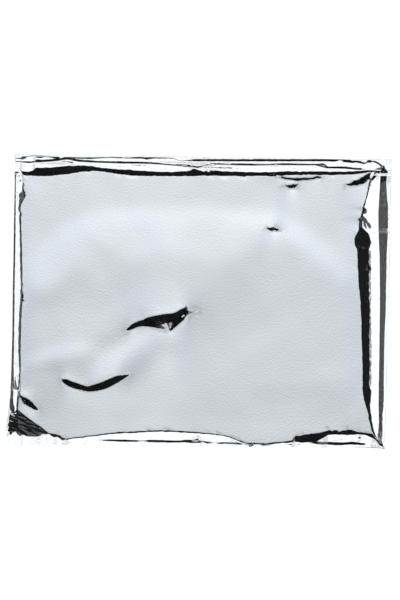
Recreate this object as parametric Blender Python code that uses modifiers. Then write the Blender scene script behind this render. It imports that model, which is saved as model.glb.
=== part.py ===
"""Folded emergency foil blanket: one sheet of metallised film, folded back and forth into a flat packet.

The packet lies flat. +X runs along its panels, +Y across them, and +Z out of the top panel. The origin is
the middle of the flat underside. The tables give millimetres, which build_sheet turns to metres.
"""

import math
from collections import namedtuple

import bmesh
import bpy

MM = 0.001

NAME = "foil_blanket"
COLLECTION = "folded_foil_blanket"

# Driving sizes, in mm.
SHEET = 1.0  # thickness of one panel's pressed plies
GAP = 0.6  # air between two panels
PITCH = SHEET + GAP
HALF_LENGTH = 57.9  # from the origin to the furthest fold along X
HALF_WIDTH = 44.2  # from the origin to the furthest edge along Y

# How finely the sheet is divided.
TOP_COLUMNS = 34
PANEL_COLUMNS = 6
FOLD_STEPS = 4
ROWS = 21
EDGE_CROWDING = 0.05  # how much closer together the rows lie near the long edges

# The long edges of each panel, from the bottom panel up: where they lie at mid-length, and how far
# they climb towards +Y from the left end to the right end.
Panel = namedtuple("Panel", "front back climb")
PANELS = (
    Panel(front=-43.7, back=43.6, climb=0.3),
    Panel(front=-44.2, back=43.3, climb=0.0),
    Panel(front=-43.4, back=43.9, climb=-0.4),
    Panel(front=-43.8, back=43.5, climb=0.5),
    Panel(front=-43.3, back=44.2, climb=0.0),
    Panel(front=-43.9, back=43.4, climb=-0.2),
    Panel(front=-43.5, back=43.8, climb=0.4),
    Panel(front=-44.0, back=43.0, climb=0.1),
    Panel(front=-43.3, back=41.6, climb=0.5),
)

# The ends of the panels, from the bottom panel's free left end, over each fold in turn, to the top
# panel's free right end: how far they reach along X, and how far they slant towards +X from the
# front edge to the back one.
End = namedtuple("End", "reach slant")
ENDS = (
    End(reach=-56.9, slant=0.3),
    End(reach=57.2, slant=-0.4),
    End(reach=-HALF_LENGTH, slant=0.0),
    End(reach=HALF_LENGTH, slant=0.0),
    End(reach=-57.1, slant=0.5),
    End(reach=56.8, slant=-0.3),
    End(reach=-56.6, slant=-0.4),
    End(reach=57.3, slant=0.6),
    End(reach=-57.4, slant=-0.2),
    End(reach=54.8, slant=-1.0),
)

# The top panel lies loose: air lifts it off the next one, all but a band along its borders.
CROWN = 0.7
CROWN_BAND = 10.0

# Soft ridges (rise above 0) and troughs (below 0) in the top panel. Each runs from one point to
# another, bows to the left of that way by bow at its middle, and fades at both ends.
Crease = namedtuple("Crease", "from_x from_y to_x to_y bow width rise")
CREASES = {
    "arch": Crease(from_x=-53, from_y=1, to_x=45, to_y=7, bow=21, width=6, rise=0.5),
    "left dome": Crease(from_x=-38, from_y=12, to_x=-22, to_y=12, bow=5, width=5, rise=-0.3),
    "peak": Crease(from_x=4, from_y=10, to_x=24, to_y=20, bow=0, width=5, rise=-0.5),
    "left ridge": Crease(from_x=-55, from_y=-21, to_x=-31, to_y=-14, bow=1, width=4, rise=0.5),
    "slit ridge": Crease(from_x=-33, from_y=-24, to_x=-14, to_y=-10, bow=2, width=4, rise=0.5),
    "slit": Crease(from_x=-25, from_y=-10, to_x=-1, to_y=-5, bow=0, width=3.4, rise=-1.0),
    "smile": Crease(from_x=-43, from_y=-23, to_x=-19, to_y=-22, bow=-5, width=3.4, rise=-1.0),
}

# The stack is pressed thinner towards each side: over a band this wide, by this much at the very edge.
Side = namedtuple("Side", "band drop")
LEFT = Side(band=4.0, drop=1.0)
RIGHT = Side(band=11.0, drop=1.8)
FRONT = Side(band=6.0, drop=1.0)
BACK = Side(band=8.0, drop=1.3)

SIDE_ROUNDING = 1.5  # power of the drop across a band: 1 is a straight bevel, and more is rounder

# The crushed corner at the front left.
CRUSH_REACH = 15.0
CRUSH_DROP = 1.0

FILM_COLOUR = (0.66, 0.69, 0.72, 1.0)
FILM_ROUGHNESS = 0.22

Column = namedtuple("Column", "x z front back slant loose")


def clear_scene():
    for old in list(bpy.data.objects):
        bpy.data.objects.remove(old, do_unlink=True)


def side_of(end_number):
    """-1 for an end on the left, 1 for one on the right."""
    return 1 if end_number % 2 else -1


def fold_centre(end_number):
    """The X that a fold's half circle is drawn about, or a free end's own X."""
    end = ENDS[end_number]
    if end_number in (0, len(ENDS) - 1):
        return end.reach
    return end.reach - side_of(end_number) * (PITCH + SHEET) / 2


def edges_at(panel, x):
    rise = panel.climb * x / HALF_LENGTH
    return panel.front + rise, panel.back + rise


def panel_columns(number):
    """A panel's own columns, in the order in which the sheet runs."""
    top = number == len(PANELS) - 1
    steps = TOP_COLUMNS if top else PANEL_COLUMNS
    height = SHEET / 2 + number * PITCH
    start, stop = fold_centre(number), fold_centre(number + 1)
    for step in range(steps + 1):
        share = step / steps
        x = start + (stop - start) * share
        slant = ENDS[number].slant * (1 - share) + ENDS[number + 1].slant * share
        yield Column(x, height, *edges_at(PANELS[number], x), slant, loose=top)


def fold_columns(number):
    """The columns of the half circle that joins a panel to the next, without the two it starts and ends on."""
    end = number + 1
    centre = fold_centre(end)
    middle = SHEET / 2 + (number + 0.5) * PITCH
    lower = edges_at(PANELS[number], centre)
    upper = edges_at(PANELS[number + 1], centre)
    for step in range(1, FOLD_STEPS):
        share = step / FOLD_STEPS
        angle = math.pi * (share - 0.5)
        x = centre + side_of(end) * PITCH / 2 * math.cos(angle)
        z = middle + PITCH / 2 * math.sin(angle)
        front, back = (low + (high - low) * share for low, high in zip(lower, upper))
        yield Column(x, z, front, back, ENDS[end].slant, loose=False)


def sheet_columns():
    """Every column of the sheet, from the bottom panel's free end to the top panel's."""
    columns = []
    for number in range(len(PANELS)):
        columns.extend(panel_columns(number))
        if number + 1 < len(PANELS):
            columns.extend(fold_columns(number))
    return columns


def crease_rise(crease, x, y):
    run_x, run_y = crease.to_x - crease.from_x, crease.to_y - crease.from_y
    length = math.hypot(run_x, run_y)
    off_x, off_y = x - crease.from_x, y - crease.from_y
    share = 2 * (off_x * run_x + off_y * run_y) / length**2 - 1
    if abs(share) >= 1:
        return 0.0
    across = (off_y * run_x - off_x * run_y) / length - crease.bow * (1 - share**2)
    return crease.rise * (1 - share**4) * math.exp(-((across / crease.width) ** 2))


def side_drop(side, inside):
    """How far the stack is pressed down this far inside one of its sides."""
    share = max(0.0, 1 - max(inside, 0.0) / side.band)
    return side.drop * share**SIDE_ROUNDING


def pressed(x, y):
    """How far the top of the stack is pressed below its plain height at this place."""
    drop = side_drop(LEFT, HALF_LENGTH + x) + side_drop(RIGHT, HALF_LENGTH - x)
    drop += side_drop(FRONT, HALF_WIDTH + y) + side_drop(BACK, HALF_WIDTH - y)
    corner = math.hypot(HALF_LENGTH + x, HALF_WIDTH + y)
    return drop + CRUSH_DROP * max(0.0, 1 - corner / CRUSH_REACH)


def smooth_step(share):
    share = min(max(share, 0.0), 1.0)
    return share * share * (3 - 2 * share)


def relief(x, y):
    """The top panel's crown and creases at this place, which die out towards its borders."""
    along = smooth_step((HALF_LENGTH - abs(x)) / CROWN_BAND)
    across = smooth_step((HALF_WIDTH - abs(y)) / CROWN_BAND)
    creased = sum(crease_rise(crease, x, y) for crease in CREASES.values())
    return along * across * (CROWN + creased)


def across_share(row):
    """Where a row lies between the front edge (0) and the back one (1)."""
    even = row / (ROWS - 1)
    return even - EDGE_CROWDING * math.sin(2 * math.pi * even)


def place(column, row):
    """A point of the sheet's middle surface, in mm. The bottom panel lies flat on the ground."""
    share = across_share(row)
    y = column.front + (column.back - column.front) * share
    x = column.x + column.slant * (share - 0.5)
    ground = SHEET / 2
    full_height = PITCH * (len(PANELS) - 1)
    z = ground + (column.z - ground) * (1 - pressed(x, y) / full_height)
    if column.loose:
        z += relief(x, y)
    return x, y, z


def film_material():
    """Metallised film: a mirror coat on thin plastic, a little dulled by handling."""
    material = bpy.data.materials.new("metallised_film")
    material.use_nodes = True
    shader = material.node_tree.nodes["Principled BSDF"]
    shader.inputs["Base Color"].default_value = FILM_COLOUR
    shader.inputs["Metallic"].default_value = 1.0
    shader.inputs["Roughness"].default_value = FILM_ROUGHNESS
    return material


def build_sheet():
    columns = sheet_columns()
    mesh = bpy.data.meshes.new(NAME)
    grid = bmesh.new()
    bmesh.ops.create_grid(grid, x_segments=len(columns) - 1, y_segments=ROWS - 1, size=0.5)
    for vertex in grid.verts:
        column = round((vertex.co.x + 0.5) * (len(columns) - 1))
        row = round((vertex.co.y + 0.5) * (ROWS - 1))
        vertex.co = [length * MM for length in place(columns[column], row)]
    grid.to_mesh(mesh)
    grid.free()
    mesh.materials.append(film_material())
    sheet = bpy.data.objects.new(NAME, mesh)
    wall = sheet.modifiers.new("sheet thickness", "SOLIDIFY")
    wall.thickness = SHEET * MM
    wall.offset = 0.0
    wall.use_even_offset = True
    wall.use_quality_normals = True
    return sheet


def main():
    clear_scene()
    collection = bpy.data.collections.new(COLLECTION)
    bpy.context.scene.collection.children.link(collection)
    collection.objects.link(build_sheet())


main()
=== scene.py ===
"""Folded emergency foil blanket: the looks of one folded sheet of metallised film, and a plain pale stage.

The sheet is folded twice. Lengthwise it becomes a strip of a few plies, and the strip is folded back and
forth into the packet's panels. It is first folded flat, then pressed, rolled and creased from above.
Places are in the row's frame: +X along the panels, +Y across them, +Z out of the top one. Lengths are in
millimetres. The outlines seen from above are in pixels of the camera's picture, which seen_at turns into
millimetres.
"""

import math
from collections import namedtuple

import bpy
import numpy as np
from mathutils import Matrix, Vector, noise


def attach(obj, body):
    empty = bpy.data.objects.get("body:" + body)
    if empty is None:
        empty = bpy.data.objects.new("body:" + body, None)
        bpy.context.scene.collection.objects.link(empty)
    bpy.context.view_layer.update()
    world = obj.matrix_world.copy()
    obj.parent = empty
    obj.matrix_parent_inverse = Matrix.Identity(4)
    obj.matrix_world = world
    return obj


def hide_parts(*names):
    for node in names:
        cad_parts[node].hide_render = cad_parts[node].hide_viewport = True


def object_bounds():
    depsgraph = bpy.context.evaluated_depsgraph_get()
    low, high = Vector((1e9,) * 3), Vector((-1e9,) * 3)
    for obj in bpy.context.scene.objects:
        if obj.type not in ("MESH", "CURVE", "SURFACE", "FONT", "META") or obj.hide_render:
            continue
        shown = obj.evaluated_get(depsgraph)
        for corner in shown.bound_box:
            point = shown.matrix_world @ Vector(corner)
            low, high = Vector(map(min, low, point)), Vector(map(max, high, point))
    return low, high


bl_info = {
    "name": "Folded Foil Blanket",
    "version": (1, 0, 0),
    "blender": (4, 5, 0),
    "location": "3D View > Sidebar > Foil Blanket",
    "description": "Folds a sheet of metallised film into a packet, with its creases, on a pale stage",
    "category": "Object",
}

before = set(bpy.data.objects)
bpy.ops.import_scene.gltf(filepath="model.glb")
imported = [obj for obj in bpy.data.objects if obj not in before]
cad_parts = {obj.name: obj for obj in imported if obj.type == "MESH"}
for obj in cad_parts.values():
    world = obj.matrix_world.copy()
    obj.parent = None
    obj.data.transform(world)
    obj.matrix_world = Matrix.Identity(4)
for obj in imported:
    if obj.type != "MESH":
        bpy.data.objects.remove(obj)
CAD_LOW, CAD_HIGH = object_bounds()

MM = 0.001
SHEET_NAME = "foil_sheet"
NODE = "foil_blanket"

# ---------------------------------------------------------------- the view from above
# The camera looks straight down and is turned a little. Pixels are those of its picture when that is 400
# by 600 pixels large, and the values here turn each one into the place that is seen there.

PICTURE_MIDDLE = (200, 300)  # the picture's middle, in pixels from its left and its top
PIXELS_PER_MM = 3.28
VIEW_CENTRE = (-0.3, 0.2)  # what the camera looks at
VIEW_TURN = math.radians(1.1)


def seen_at(column, row, x_digits, y_digits):
    """The place, along X and Y, that is seen at a pixel, rounded to so many digits."""
    right, up = column - PICTURE_MIDDLE[0], PICTURE_MIDDLE[1] - row
    x = (right * math.cos(VIEW_TURN) - up * math.sin(VIEW_TURN)) / PIXELS_PER_MM + VIEW_CENTRE[0]
    y = (right * math.sin(VIEW_TURN) + up * math.cos(VIEW_TURN)) / PIXELS_PER_MM + VIEW_CENTRE[1]
    return round(x, x_digits), round(y, y_digits)


# ---------------------------------------------------------------- folds

PLIES = 4  # modelled plies in one panel
PLY_PITCH = 0.37
PANEL_PITCH = 1.62
LIFT_OFF_GROUND = 0.03
FOLD_BULGE = 0.45  # how far a fold bulges, as a share of half its height
TURN_STAGGER = 0.16  # how much further in some turns of the plies lie than the others

# The ends of the panels below the top one, from the bottom panel's free left end over each fold in turn:
# how far they reach along X, and how they slant towards +X from front to back.
End = namedtuple("End", "reach slant")
ENDS = (
    End(reach=-57.0, slant=0.3),
    End(reach=57.5, slant=-0.4),
    End(reach=-58.2, slant=0.1),
    End(reach=58.1, slant=0.2),
    End(reach=-57.6, slant=0.5),
    End(reach=57.6, slant=-0.3),
    End(reach=-58.3, slant=-0.2),
    End(reach=58.0, slant=0.3),
)

# The long edges of the panels below the top one, from the bottom up, and how far they climb towards
# +Y from the left end to the right one.
Panel = namedtuple("Panel", "front back climb")
PANELS = (
    Panel(front=-43.9, back=43.8, climb=0.3),
    Panel(front=-44.4, back=43.5, climb=0.0),
    Panel(front=-43.6, back=44.1, climb=-0.4),
    Panel(front=-44.0, back=43.7, climb=0.5),
    Panel(front=-43.5, back=44.4, climb=0.0),
    Panel(front=-44.1, back=43.8, climb=0.2),
    Panel(front=-43.7, back=44.2, climb=0.4),
    Panel(front=-44.5, back=43.9, climb=0.6),
)

# ---------------------------------------------------------------- the sides of the top, seen from above
# The lines of each side run along it: where the face ends and rolls over, where the roll turns steep, and
# the two sides of one or two flatter bands beyond that. The top panel ends at edge, and at the left a
# little past under. Each point gives how far along the side it lies, then how far out.

Rim = namedtuple("Rim", "face steep edge under line outer", defaults=(None, None))
Band = namedtuple("Band", "upper lower")
BAND_SPREAD = 1.2  # how much wider a band is made than it looks, since its sides are soft
ALONG_DIGITS, OUT_DIGITS = 1, 2  # how finely places are rounded, along a side and outwards


def up_line(*pixels):
    """A line that runs up the picture, from the row and column of each point."""
    return sorted(seen_at(column, row, OUT_DIGITS, ALONG_DIGITS)[::-1] for row, column in pixels)


def across_line(*pixels):
    """A line that runs across the picture, from the column and row of each point."""
    return sorted(seen_at(column, row, ALONG_DIGITS, OUT_DIGITS) for column, row in pixels)


def band(*pixels):
    """The sides of a band that runs across, from its middle's column and row and its width at each point."""
    upper = [(column, row - width * BAND_SPREAD / 2) for column, row, width in pixels]
    lower = [(column, row + width * BAND_SPREAD / 2) for column, row, width in pixels]
    return Band(across_line(*upper), across_line(*lower))


LEFT_RIM = Rim(
    face=up_line(
        (160, 22.2), (175, 22.3), (181, 22.9), (184, 23.4), (188, 23.4), (191, 23.7), (194, 24.9),
        (196.5, 25.2), (199, 24.1), (202, 22.2), (205, 20.9), (210, 20.4), (214, 21.6), (217, 21),
        (225, 21.2), (235, 21.4), (245, 21.8), (255, 22), (265, 22.2), (275, 22.3), (282, 22.2),
        (288, 22.2), (293, 22.6), (297, 22.8), (300, 22.5), (310, 21.7), (320, 21.2), (330, 20.8),
        (350, 20.4), (360, 20.6), (367, 20.8), (372, 20.5), (377, 20), (381, 20.3), (386, 20), (395, 19.6),
        (400, 18.9), (409, 17.8), (445, 15),
    ),
    steep=up_line(
        (160, 21.9), (175, 22), (181, 22.6), (184, 22.3), (188, 22), (191.5, 21.4), (194, 19.2),
        (196, 18.5), (199, 18.9), (203, 18.6), (210, 18.3), (214, 19.2), (217, 19), (225, 19.3),
        (235, 19.5), (245, 19.7), (265, 19.9), (285, 20.4), (295, 20.2), (300, 19.9), (310, 19.2),
        (320, 18.7), (330, 18.3), (350, 18), (360, 18.5), (367, 18.9), (373, 18.7), (380, 18.3),
        (386, 17.6), (395, 17.2), (400, 16.8), (409, 16), (445, 14),
    ),
    edge=up_line(
        (150, 15.2), (170.4, 15.4), (171.4, 18.8), (173, 18.4), (174.6, 16.3), (180, 15.8), (190, 15.7),
        (200, 15.8), (220, 15.6), (240, 15.4), (260, 15.1), (275, 14.8), (300, 14.5), (320, 14.3),
        (340, 14.1), (360, 13.8), (371, 13.7), (378, 13.9), (384, 14), (392, 13.4), (400, 13.2),
        (404, 13.6), (408, 14.6), (412, 14.4), (416, 12.4), (445, 12.2),
    ),
    under=up_line(
        (150, 14.8), (170, 14.9), (172, 14), (175, 14.1), (180, 14.3), (190, 14.1), (200, 13.9),
        (220, 13.5), (240, 13.2), (260, 12.9), (275, 12.4), (300, 12.1), (320, 11.9), (340, 11.6),
        (360, 11), (372, 10.7), (380, 10.5), (385, 10.2), (390, 10.2), (395, 10.2), (400, 9.4), (405, 9.2),
        (409, 9.6), (412, 9.4), (416, 8.4), (420, 8), (425, 6.9), (431, 6.9), (445, 8),
    ),
)
RIGHT_RIM = Rim(
    face=up_line(
        (160, 372.3), (172, 371.3), (178, 369.8), (182, 369), (190, 367.5), (197, 366), (203, 364.3),
        (207, 363), (212, 362), (217, 360.5), (221, 359.5), (226, 359), (231, 358), (234, 356.5),
        (237, 355), (240, 354.2), (244, 354.4), (247, 355.7), (249, 356.9), (262, 357.5), (280, 358.4),
        (290, 359.1), (297, 360.1), (310, 360.7), (330, 361.5), (335, 361.2), (341, 361.7), (350, 362),
        (370, 362.5), (390, 362.6), (395, 363), (400, 364), (405, 365.5), (410, 367), (415, 368.2),
        (420, 369), (425, 370.3), (430, 371.3), (435, 373.3), (438, 375.3), (445, 380),
    ),
    steep=up_line(
        (160, 384.5), (171.8, 384.5), (174, 377), (175.5, 372), (178, 371.2), (182, 370.2), (190, 368.9),
        (197, 367.2), (203, 365.6), (206, 364.6), (213, 363.6), (217, 363.2), (222, 362.6), (227, 362.6),
        (229, 364), (231, 366), (234, 368.7), (238, 370.2), (242, 370.8), (247, 370.4), (249.5, 369),
        (262, 369), (280, 369), (300, 369.4), (310, 369.8), (330, 369.4), (350, 369.4), (370, 369.6),
        (380, 369.3), (385, 369.2), (388, 370), (390.5, 371.2), (395, 371.1), (400, 370.7), (405, 370.1),
        (410, 370.4), (415, 371.1), (420, 371.9), (425, 372.6), (430, 373.7), (435, 375.6), (438, 376.8),
        (445, 381),
    ),
    edge=up_line(
        (160, 381.2), (172, 380.8), (180, 380.4), (190, 379.9), (200, 379.3), (210, 378.8), (225, 378.7),
        (235, 378.9), (245, 379.4), (252, 379.8), (275, 380.1), (285, 380.2), (300, 380.2), (330, 379.9),
        (345, 379.7), (360, 379.5), (385, 379), (405, 378.8), (415, 378.9), (422, 379), (428, 378.6),
        (434, 377.6), (438, 377.4), (441, 378.9), (446, 381.3),
    ),
    under=up_line(
        (160, 384), (169.5, 386.5), (171, 388), (178, 387.6), (180.5, 387.1), (190, 387.6), (198, 388),
        (203, 388.5), (207, 389), (215, 389.1), (225, 389), (235, 388.6), (245, 388.1), (255, 387.5),
        (275, 387.2), (285, 386.9), (300, 386.7), (315, 386.2), (330, 385.6), (345, 385.1), (360, 384.8),
        (385, 384.5), (400, 384.4), (405, 384.2), (410, 383.7), (416, 383), (422, 382.9), (428, 383.1),
        (434, 383), (440, 382.4), (446, 383),
    ),
)
FRONT_BAND = band(
    (8, 446, 0.05), (96, 440.1, 0.05), (103, 440.3, 1), (110, 440.5, 1.6), (115, 440.6, 1.7),
    (130, 441, 1.8), (137, 441.2, 1.6), (141, 441.4, 0.4), (145, 441.4, 0.8), (149, 441.1, 2),
    (165, 441.6, 2.1), (175, 441.9, 1.8), (182, 441.5, 2), (188, 441.3, 2.6), (192, 441.8, 2.8),
    (200, 442, 2.4), (203, 442.4, 0.2), (206, 442.9, 1.4), (208, 443, 1.6), (210, 443.2, 0.3),
    (216, 443.4, 0.5), (219, 443.4, 1.5), (228, 443.2, 1.7), (240, 443.8, 1.9), (243, 444.1, 0.3),
    (247, 445, 0.6), (250, 445.6, 2.4), (252, 445.5, 2), (255, 445.5, 0.1), (288, 444.6, 0.1),
    (291, 444.6, 1.6), (293, 444.6, 0.1), (309, 443, 0.3), (313, 443, 1.2), (316, 443, 2.2),
    (319, 443.2, 2.8), (322, 443.5, 2.8), (330, 443.5, 2.5), (338, 444.2, 2.6), (345, 443.9, 2.3),
    (353, 443.3, 2.5), (356, 443.9, 2.1), (364, 444.3, 2), (366.5, 444.4, 0.2), (371, 444.2, 0.3),
    (373, 443.8, 1.6), (376, 443, 1.2), (378, 443.6, 0.1), (390, 444.5, 0.1),
)
FRONT_RIM = Rim(
    face=across_line(
        (8, 440), (62, 440), (66, 438.8), (72, 437.6), (80, 436.7), (90, 435.4), (96, 434.7), (105, 433.4),
        (115, 432.2), (125, 431.6), (135, 431.3), (142, 430.8), (160, 430.1), (170, 430.3), (180, 430.8),
        (190, 431.4), (200, 432.2), (210, 433.1), (220, 434.2), (226, 435.2), (232, 437.1), (238, 439.5),
        (243, 441.4), (247, 442.5), (257, 442.9), (262, 443.3), (268, 443), (275, 442.1), (285, 441.3),
        (292.3, 440.4), (295.6, 435.4), (298, 435.4), (303, 434.8), (308, 434), (314, 433.2), (319, 432.6),
        (322, 432.2), (326, 430.8), (329, 429.8), (332, 430.6), (336, 429.9), (340, 431.3), (344, 430),
        (349, 429.5), (352, 429.8), (356, 431.2), (362, 432.2), (366, 432.5), (369, 432.8), (372, 433.4),
        (375, 435.6), (377, 437.8), (379, 439.4), (381, 440.6), (385, 442),
    ),
    steep=across_line(
        (8, 441), (62, 441), (66, 440), (72, 438.8), (80, 437.9), (90, 436.7), (96, 436), (105, 434.9),
        (115, 433.8), (125, 433.2), (135, 432.9), (142, 432.4), (160, 431.7), (170, 431.9), (180, 432.4),
        (190, 433), (200, 433.7), (210, 434.4), (220, 435.4), (226, 436.6), (232, 438.5), (238, 440.9),
        (243, 442.7), (247, 444), (257, 444.3), (262, 445), (268, 444.8), (275, 443.8), (285, 443),
        (292, 442.4), (296, 442.2), (299.5, 442.5), (304, 442.7), (309, 442.3), (312, 442.3), (316, 441.8),
        (319, 440.6), (322, 438.8), (325, 436.8), (328, 435.4), (332, 434.8), (340, 434.6), (345, 435),
        (352, 435), (358, 434.5), (364, 434.8), (367, 436), (371, 437.4), (374, 439.3), (376, 440.8),
        (378, 443), (380, 446), (385, 447),
    ),
    edge=FRONT_BAND.upper,
    under=FRONT_BAND.lower,
)
BACK_BAND = band(
    (8, 161.5, 0.1), (20, 161.3, 1), (26, 161.8, 1.4), (31, 161.9, 1.6), (33, 161.5, 1.9),
    (35, 160.6, 2.4), (38, 161, 3.2), (40, 160.8, 2.4), (42, 160.5, 1.9), (48, 160.3, 2), (55, 159.6, 2.1),
    (60, 159, 2.2), (62, 158.5, 2), (64, 157.9, 2.1), (67, 157.8, 2.4), (71, 158.3, 2.5), (73, 159.2, 2.6),
    (76, 160, 2.2), (80, 160.4, 2), (85, 160.9, 1.9), (92, 161.2, 1.8), (100, 161.7, 1.6),
    (110, 161.9, 1.6), (120, 162.1, 1.8), (128, 162.4, 1.8), (142, 162.4, 1.6), (150, 162.7, 1.5),
    (158, 163.2, 1.4), (165, 164.3, 1.3), (172, 164.8, 1.2), (185, 165, 1.2), (190, 165.5, 1.4),
    (196, 166.6, 1.7), (199, 167, 2), (202, 166.3, 1.5), (206, 165, 1.3), (210, 163.8, 1.4),
    (216, 163.3, 1.7), (222, 163.5, 1.5), (228, 164.4, 1.4), (233, 163.9, 1.7), (245, 164.2, 1.7),
    (255, 164.3, 1.7), (268, 164.3, 1.6), (275, 163.8, 1.4), (283, 163.7, 1.7), (291, 164, 1.7),
    (300, 164.2, 1.4), (310, 164.3, 1.3), (320, 164.2, 1.3), (323, 163.9, 1.7), (325, 165.3, 2.5),
    (327, 166.8, 2.1), (330, 167.3, 1.6), (342, 167.3, 1.7), (350, 168, 1.7), (356, 168.6, 1.5),
    (361, 168.8, 1.8), (363, 168.9, 0.2), (370, 169, 0.1), (390, 170, 0.1),
)
BACK_OUTER_BAND = band(
    (8, 158, 0.1), (20, 158, 1.1), (22, 157.6, 2.8), (25, 156.6, 2.4), (27, 155.5, 1.3), (31, 155.2, 1.6),
    (34, 155.9, 1.8), (40, 156.6, 1.7), (44, 155.8, 1.5), (50, 156, 1.8), (53, 156.7, 1.9),
    (56, 157.2, 1.7), (60, 156.8, 0.2), (66, 156, 0.1), (74, 157.2, 1.1), (80, 157.7, 1.3),
    (90, 157.8, 1.4), (100, 157.4, 0.85), (110, 157, 0.65), (120, 157.3, 0.85), (128, 157.6, 0.75),
    (133, 157.4, 1.25), (140, 157.3, 1.35), (144, 157.7, 1.65), (147, 158.1, 1.95), (150, 157.6, 1.45),
    (155, 157.3, 1.35), (163, 157.3, 1.2), (168, 157.5, 0.9), (172, 157.8, 0.7), (177, 159.4, 0.5),
    (180, 160.2, 0.5), (185, 160.3, 0.6), (190, 160, 1.4), (195, 159.9, 1.7), (240, 159.9, 1.8),
    (300, 159.9, 1.8), (326, 159.8, 2.1), (330, 159.6, 2.4), (337, 159.6, 2.4), (340, 159, 1.5),
    (342, 159.3, 1.7), (344, 160, 2.6), (350, 160.8, 2.4), (353, 161.5, 1.8), (356, 161.2, 1.7),
    (360, 161.8, 2), (363, 162.5, 1.6), (366, 163, 0.9), (368, 161, 1.6), (371, 161, 2.4), (373, 161, 1),
    (375, 161.2, 1.4), (378, 162.8, 1.8), (381, 165, 1.6), (382.5, 167, 1.4), (386, 168.3, 1.2),
    (390, 168.8, 0.6),
)
BACK_RIM = Rim(
    face=across_line(
        (8, 172), (19, 171), (22, 174.3), (24, 175.5), (30, 175.8), (37, 176.2), (45, 176.3), (52, 176),
        (56, 175.2), (60, 175), (65, 174.6), (70, 173.9), (75, 173.2), (80, 172.4), (83, 171.7),
        (86, 171.9), (90, 171.3), (97, 171.3), (103, 171.8), (110, 172.9), (120, 174.4), (128, 175.4),
        (135, 175.9), (145, 176.1), (165, 176.2), (190, 176.3), (197, 176.2), (203, 175.8), (207, 176),
        (215, 175.8), (222, 176.1), (232, 176), (240, 176.6), (244, 177), (247, 176.2), (265, 176.2),
        (272, 176.5), (280, 176.8), (283, 175.6), (288, 175.3), (300, 175.1), (310, 175), (330, 175.2),
        (340, 174.9), (350, 174.6), (358, 174.1), (365, 173.2), (371, 172.6), (374, 172.2), (380, 172.3),
        (390, 173),
    ),
    steep=across_line(
        (8, 171), (18, 169.6), (20, 170.4), (22, 171.2), (25, 171.6), (30, 171.3), (33, 170.4), (35, 168),
        (37, 167.4), (40, 167.8), (45, 167.6), (50, 167.4), (55, 167), (60, 166.6), (65, 165.9),
        (70, 165.7), (80, 165.5), (85, 165.4), (90, 165.9), (95, 166.8), (100, 167.5), (110, 168.5),
        (120, 169.3), (128, 169.6), (135, 170.2), (145, 170.9), (155, 171.5), (165, 171.9), (175, 171.7),
        (183, 171.2), (190, 170.6), (193, 168.4), (196, 168.9), (198, 170.2), (201, 170.6), (204, 171.8),
        (206.5, 170.4), (208.5, 172), (211, 170), (213, 171.2), (215, 170.4), (222, 171), (230, 171.5),
        (240, 171.6), (250, 172.1), (275, 172), (280, 171.5), (290, 171.3), (297, 171.2), (300, 171.9),
        (303, 171.5), (310, 171.3), (320, 171.3), (330, 171.6), (352, 171.3), (358, 170.9), (365, 170.3),
        (371, 169.3), (374, 170.2), (380, 170), (390, 171.5),
    ),
    edge=BACK_BAND.lower,
    under=BACK_BAND.upper,
    line=BACK_OUTER_BAND.lower,
    outer=BACK_OUTER_BAND.upper,
)

BLEND = 4  # how sharply one side's fall takes over from the next one's at a corner
# How steeply the packet falls past each of those lines, in degrees.
LEFT_FALL = (17.9, 32.0, 17.2, 34.0)
RIGHT_FALL = (13.5, 28.5, 20.5, 34.0)
FRONT_FALL = (12.5, 32.0, 14.0, 34.0)
BACK_FALL = (12.5, 32.0, 14.0, 34.0, 13.7, 34.0)

# ---------------------------------------------------------------- creases of the top ply

HOLLOW = 1.0  # depth of the air under the top ply, which the creases sink into
BORDER_BAND = 4.0  # width of the border in which the hollow dies out
TOP_END_OUT = 0.5  # how far the top panel's left end lies past the last line there
SINK = 0.45  # how far the top ply can sink at its border
UNDER_SINK = 0.15  # how far a panel's other plies sink below its topmost one at the sides
UNDER_SINK_FROM = 0.5  # how far a side has dropped where they are fully sunk

# Where the top ply leans: each outline's inside faces the back by these degrees, or the front below 0.
# blur is how softly the lean sets in. With sideways, it faces the right, or the left below 0.
Lean = namedtuple("Lean", "degrees blur outline sideways")


def lean(degrees, blur, pixels, sideways=False, digits=2):
    """A lean, from the column and row of each point of its outline, rounded to so many digits."""
    return Lean(degrees, blur, [seen_at(*pixel, digits, digits) for pixel in pixels], sideways)


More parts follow.
